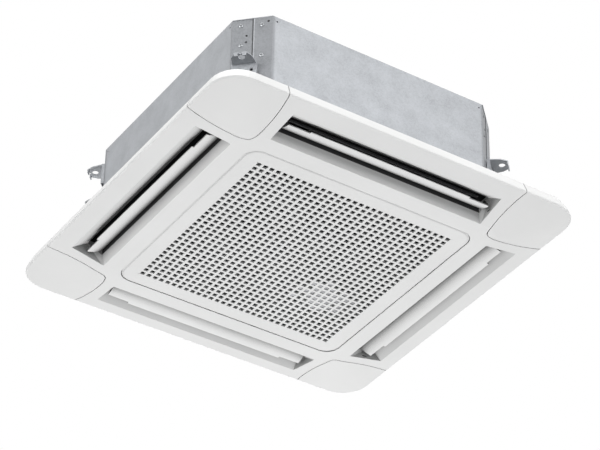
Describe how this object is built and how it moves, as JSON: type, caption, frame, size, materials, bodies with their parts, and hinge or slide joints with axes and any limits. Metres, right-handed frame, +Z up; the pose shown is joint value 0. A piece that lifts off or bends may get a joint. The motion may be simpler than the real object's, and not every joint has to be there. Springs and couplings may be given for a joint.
{
  "type": "ceiling cassette air conditioner indoor unit",
  "caption": "Square ceiling cassette air conditioner: a galvanised body for the ceiling void over a moulded panel with a hinged intake grille and a swinging air flap along each side.",
  "frame": {"origin": "centre of the pattern of suspension rod holes, on the upper faces of the hanger ears", "axes": "+Z up towards the slab; -Y faces the front of the panel, +Y is the door's hinge side, and the pipes leave on the +X side"},
  "size_m": [0.73, 0.73, 0.261],
  "materials": {
    "panel_white": "satin moulded",
    "door_white": "satin moulded",
    "flap_white": "satin moulded",
    "duct_foam": "closed cell foam",
    "zinc_steel": "galvanised sheet with fine spangle",
    "screw_zinc": "zinc plated",
    "black_plastic": "moulded",
    "rubber_foot": "moulded",
    "filter_net": "fine woven net",
    "white_foam": "expanded foam",
    "fin_aluminium": "thin fins",
    "copper": "bare copper tube",
    "brass_nut": "machined",
    "pale_plastic": "moulded",
    "motor_steel": "plated can",
    "fan_plastic": "moulded"
  },
  "bodies": {
    "unit": {"panel_frame": "panel_white", "corner_cover_near": "panel_white", "corner_cover_right": "panel_white", "corner_cover_far": "panel_white", "corner_cover_left": "panel_white", "outlet_ducts": "duct_foam", "panel_seal": "duct_foam", "panel_screws": "screw_zinc", "catch_magnets": "black_plastic", "flap_motor_right": "black_plastic", "flap_motor_back": "black_plastic", "flap_motor_left": "black_plastic", "flap_motor_front": "black_plastic", "case_right": "zinc_steel", "case_back": "zinc_steel", "case_left": "zinc_steel", "case_front": "zinc_steel", "case_top": "zinc_steel", "case_screws": "screw_zinc", "hanger_near": "zinc_steel", "hanger_right": "zinc_steel", "hanger_far": "zinc_steel", "hanger_left": "zinc_steel", "foam_liner": "white_foam", "drain_pan": "white_foam", "bell_mouth": "black_plastic", "coil_fins": "fin_aluminium", "coil_bends": "copper", "coil_header": "copper", "gas_pipe": "copper", "liquid_pipe": "copper", "pipe_nuts": "brass_nut", "pipe_plate": "zinc_steel", "drain_spigot": "pale_plastic", "drain_pump": "black_plastic", "float_stem": "pale_plastic", "control_box": "zinc_steel", "control_cover": "zinc_steel", "terminal_block": "black_plastic", "fan_motor": "motor_steel", "motor_mount": "zinc_steel", "motor_feet": "rubber_foot"},
    "door": {"door_frame": "door_white", "door_grid": "door_white", "catch_plates": "zinc_steel", "filter_frame": "black_plastic", "filter_mesh": "filter_net"},
    "flap_right_body": {"flap_right": "flap_white"},
    "flap_back_body": {"flap_back": "flap_white"},
    "flap_left_body": {"flap_left": "flap_white"},
    "flap_front_body": {"flap_front": "flap_white"},
    "fan_wheel": {"fan_hub": "fan_plastic", "fan_vanes": "fan_plastic", "fan_shroud": "fan_plastic", "fan_shaft": "motor_steel", "fan_nut": "screw_zinc"},
    "float_body": {"float": "black_plastic"}
  },
  "joints": [
    {"name": "door_hinge", "type": "hinge", "parent": "unit", "child": "door", "pos_m": [0, 0.2, -0.151], "axis": [1, 0, 0], "range_deg": [0, 88]},
    {"name": "flap_right_tilt", "type": "hinge", "parent": "unit", "child": "flap_right_body", "pos_m": [0.2935, 0, -0.1356], "axis": [0, 1, 0], "range_deg": [-42, 35]},
    {"name": "flap_back_tilt", "type": "hinge", "parent": "unit", "child": "flap_back_body", "pos_m": [0, 0.2935, -0.1356], "axis": [-1, 0, 0], "range_deg": [-42, 35]},
    {"name": "flap_left_tilt", "type": "hinge", "parent": "unit", "child": "flap_left_body", "pos_m": [-0.2935, 0, -0.1356], "axis": [0, -1, 0], "range_deg": [-42, 35]},
    {"name": "flap_front_tilt", "type": "hinge", "parent": "unit", "child": "flap_front_body", "pos_m": [0, -0.2935, -0.1356], "axis": [1, 0, 0], "range_deg": [-42, 35]},
    {"name": "fan_spin", "type": "hinge", "parent": "unit", "child": "fan_wheel", "pos_m": [0, 0, 0.03], "axis": [0, 0, 1], "continuous": true},
    {"name": "float_slide", "type": "slide", "parent": "unit", "child": "float_body", "axis": [0, 0, 1], "range_m": [0, 0.012]}
  ]
}
